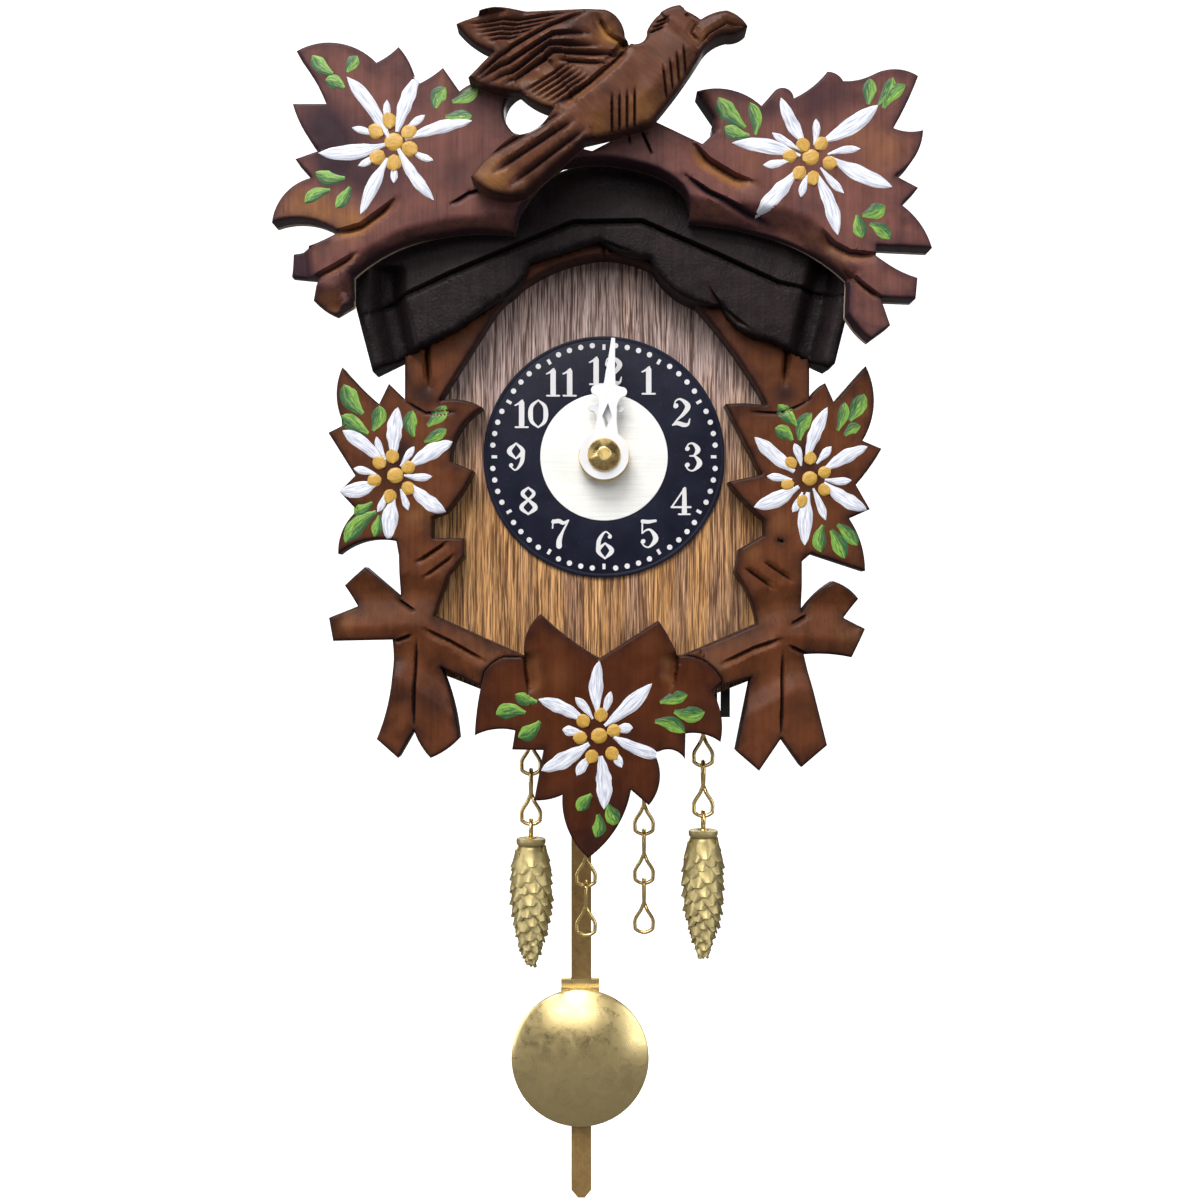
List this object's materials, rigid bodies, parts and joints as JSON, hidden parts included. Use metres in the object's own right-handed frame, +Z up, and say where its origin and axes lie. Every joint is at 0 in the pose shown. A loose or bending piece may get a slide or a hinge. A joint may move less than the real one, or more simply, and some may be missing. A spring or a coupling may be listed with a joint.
{
  "type": "wall clock",
  "caption": "Miniature carved wooden wall clock with a perched bird, painted flowers, a quartz pendulum movement, decorative chains with cone weights and a disc-bob pendulum.",
  "frame": {"origin": "middle of the hanger hole on the wall plane, at the back of the case", "axes": "+Y goes into the wall along the hanger hole, +Z up, +X to the right seen from the front"},
  "size_m": [0.1041, 0.0548, 0.1986],
  "materials": {
    "front_veneer": "oiled walnut veneer, vertical grain",
    "case_wood": "dark stained softwood",
    "roof_wood": "near-black stained softwood",
    "fascia_wood": "near-black stained wood, pebbled varnish",
    "crown_wood": "red-brown stained carved wood, satin",
    "bird_wood": "brown stained carved wood, satin",
    "surround_wood": "chestnut stained carved wood, satin",
    "leaf_wood": "deep red-brown stained carved wood, satin",
    "dial": "navy printed ring round a brushed silver centre",
    "hand_plastic": "white plastic",
    "brass": "polished brass",
    "satin_brass": "satin brass disc",
    "rod_brass": "tarnished brass strip",
    "cone_gold": "matt gold paint",
    "black_plastic": "black moulded plastic",
    "white_plastic": "natural moulded plastic",
    "steel": "bright steel",
    "nickel": "nickel-plated sheet",
    "copper": "enamelled copper winding",
    "board_green": "green circuit board",
    "magnet": "sintered magnet",
    "battery_jacket": "plain grey battery jacket"
  },
  "bodies": {
    "root": {"front_board": "front_veneer", "side_wall_left": "case_wood", "side_wall_right": "case_wood", "floor_left": "case_wood", "floor_right": "case_wood", "roof_board_left": "roof_wood", "roof_board_right": "roof_wood", "gable_panel": "case_wood", "hanger_plate": "nickel", "fixing_screws": "steel", "gable_fascia": "fascia_wood", "crown_carving": "crown_wood", "bird_carving": "bird_wood", "surround_left": "surround_wood", "surround_right": "surround_wood", "bottom_leaf": "leaf_wood", "dial_plate": "dial", "centre_bush": "brass", "dial_nut": "brass", "movement_housing": "black_plastic", "rear_cover": "black_plastic", "circuit_board": "board_green", "stator": "steel", "drive_coil": "copper", "pendulum_coil": "copper", "battery_contact_plus": "nickel", "battery_contact_minus": "nickel", "pivot_pin": "steel", "chain_bar": "black_plastic"},
    "minute_hand_group": {"minute_hand": "hand_plastic", "hand_nut": "brass", "minute_arbor": "steel"},
    "hour_hand_group": {"hour_hand": "hand_plastic", "hour_wheel": "white_plastic"},
    "motion_wheel_group": {"motion_wheel": "white_plastic"},
    "knob_group": {"setting_knob": "black_plastic"},
    "rotor_group": {"rotor": "magnet"},
    "pendulum": {"pendulum_lever": "white_plastic", "lever_magnet": "magnet", "pendulum_rod": "rod_brass"},
    "bob": {"pendulum_bob": "satin_brass", "bob_clip": "satin_brass"},
    "battery_group": {"battery": "battery_jacket"},
    "chain_left_1_link": {"chain_left_1": "brass"},
    "chain_left_2_link": {"chain_left_2": "brass"},
    "cone_left_weight": {"cone_left": "cone_gold", "cone_left_eye": "brass"},
    "chain_right_1_link": {"chain_right_1": "brass"},
    "chain_right_2_link": {"chain_right_2": "brass"},
    "cone_right_weight": {"cone_right": "cone_gold", "cone_right_eye": "brass"},
    "tail_left_1_link": {"tail_left_1": "brass"},
    "tail_left_2_link": {"tail_left_2": "brass"},
    "tail_left_3_link": {"tail_left_3": "brass"},
    "tail_left_4_link": {"tail_left_4": "brass"},
    "tail_right_1_link": {"tail_right_1": "brass"},
    "tail_right_2_link": {"tail_right_2": "brass"},
    "tail_right_3_link": {"tail_right_3": "brass"},
    "tail_right_4_link": {"tail_right_4": "brass"}
  },
  "joints": [
    {"name": "minute_hand_turn", "type": "hinge", "parent": "root", "child": "minute_hand_group", "pos_m": [0, -0.0385, -0.034], "axis": [0, 1, 0], "continuous": true},
    {"name": "hour_hand_turn", "type": "hinge", "parent": "root", "child": "hour_hand_group", "pos_m": [0, -0.0373, -0.034], "axis": [0, 1, 0], "continuous": true},
    {"name": "motion_wheel_turn", "type": "hinge", "parent": "root", "child": "motion_wheel_group", "pos_m": [0.0064, -0.027, -0.0388], "axis": [0, 1, 0], "continuous": true},
    {"name": "setting_knob_turn", "type": "hinge", "parent": "root", "child": "knob_group", "pos_m": [0.0128, -0.007, -0.0436], "axis": [0, 1, 0], "continuous": true},
    {"name": "rotor_turn", "type": "hinge", "parent": "root", "child": "rotor_group", "pos_m": [-0.014, -0.018, -0.044], "axis": [0, 1, 0], "continuous": true},
    {"name": "pendulum_swing", "type": "hinge", "parent": "root", "child": "pendulum", "pos_m": [-0.004, -0.0126, -0.0465], "axis": [0, 1, 0], "range_deg": [-6, 6]},
    {"name": "bob_slide", "type": "slide", "parent": "pendulum", "child": "bob", "axis": [0, 0, 1], "range_m": [-0.008, 0.008]},
    {"name": "battery_slide", "type": "slide", "parent": "root", "child": "battery_group", "axis": [0, 1, 0], "range_m": [0, 0.015]},
    {"name": "chain_left_1_swing", "type": "hinge", "parent": "root", "child": "chain_left_1_link", "pos_m": [-0.0124, -0.027, -0.07802], "axis": [0, 1, 0], "range_deg": [-12, 12]},
    {"name": "chain_left_2_swing", "type": "hinge", "parent": "chain_left_1_link", "child": "chain_left_2_link", "pos_m": [-0.0124, -0.027, -0.08657], "axis": [0, 1, 0], "range_deg": [-12, 12]},
    {"name": "cone_left_swing", "type": "hinge", "parent": "chain_left_2_link", "child": "cone_left_weight", "pos_m": [-0.0124, -0.027, -0.09513], "axis": [0, 1, 0], "range_deg": [-15, 15]},
    {"name": "chain_right_1_swing", "type": "hinge", "parent": "root", "child": "chain_right_1_link", "pos_m": [0.0169, -0.027, -0.07662], "axis": [0, 1, 0], "range_deg": [-12, 12]},
    {"name": "chain_right_2_swing", "type": "hinge", "parent": "chain_right_1_link", "child": "chain_right_2_link", "pos_m": [0.0169, -0.027, -0.08518], "axis": [0, 1, 0], "range_deg": [-12, 12]},
    {"name": "cone_right_swing", "type": "hinge", "parent": "chain_right_2_link", "child": "cone_right_weight", "pos_m": [0.0169, -0.027, -0.09373], "axis": [0, 1, 0], "range_deg": [-15, 15]},
    {"name": "tail_left_1_swing", "type": "hinge", "parent": "root", "child": "tail_left_1_link", "pos_m": [-0.0031, -0.0205, -0.08113], "axis": [0, 1, 0], "range_deg": [-7, 7]},
    {"name": "tail_left_2_swing", "type": "hinge", "parent": "tail_left_1_link", "child": "tail_left_2_link", "pos_m": [-0.0031, -0.0205, -0.08968], "axis": [0, 1, 0], "range_deg": [-9, 9]},
    {"name": "tail_left_3_swing", "type": "hinge", "parent": "tail_left_2_link", "child": "tail_left_3_link", "pos_m": [-0.0031, -0.0205, -0.09823], "axis": [0, 1, 0], "range_deg": [-12, 12]},
    {"name": "tail_left_4_swing", "type": "hinge", "parent": "tail_left_3_link", "child": "tail_left_4_link", "pos_m": [-0.0031, -0.0205, -0.10677], "axis": [0, 1, 0], "range_deg": [-15, 15]},
    {"name": "tail_right_1_swing", "type": "hinge", "parent": "root", "child": "tail_right_1_link", "pos_m": [0.007, -0.0205, -0.08063], "axis": [0, 1, 0], "range_deg": [-7, 7]},
    {"name": "tail_right_2_swing", "type": "hinge", "parent": "tail_right_1_link", "child": "tail_right_2_link", "pos_m": [0.007, -0.0205, -0.08918], "axis": [0, 1, 0], "range_deg": [-9, 9]},
    {"name": "tail_right_3_swing", "type": "hinge", "parent": "tail_right_2_link", "child": "tail_right_3_link", "pos_m": [0.007, -0.0205, -0.09773], "axis": [0, 1, 0], "range_deg": [-12, 12]},
    {"name": "tail_right_4_swing", "type": "hinge", "parent": "tail_right_3_link", "child": "tail_right_4_link", "pos_m": [0.007, -0.0205, -0.10627], "axis": [0, 1, 0], "range_deg": [-15, 15]}
  ],
  "couplings": [
    {"joint": "hour_hand_turn", "follows": "minute_hand_turn", "ratio": 0.083333},
    {"joint": "motion_wheel_turn", "follows": "minute_hand_turn", "ratio": -0.33333},
    {"joint": "setting_knob_turn", "follows": "minute_hand_turn", "ratio": 1}
  ]
}
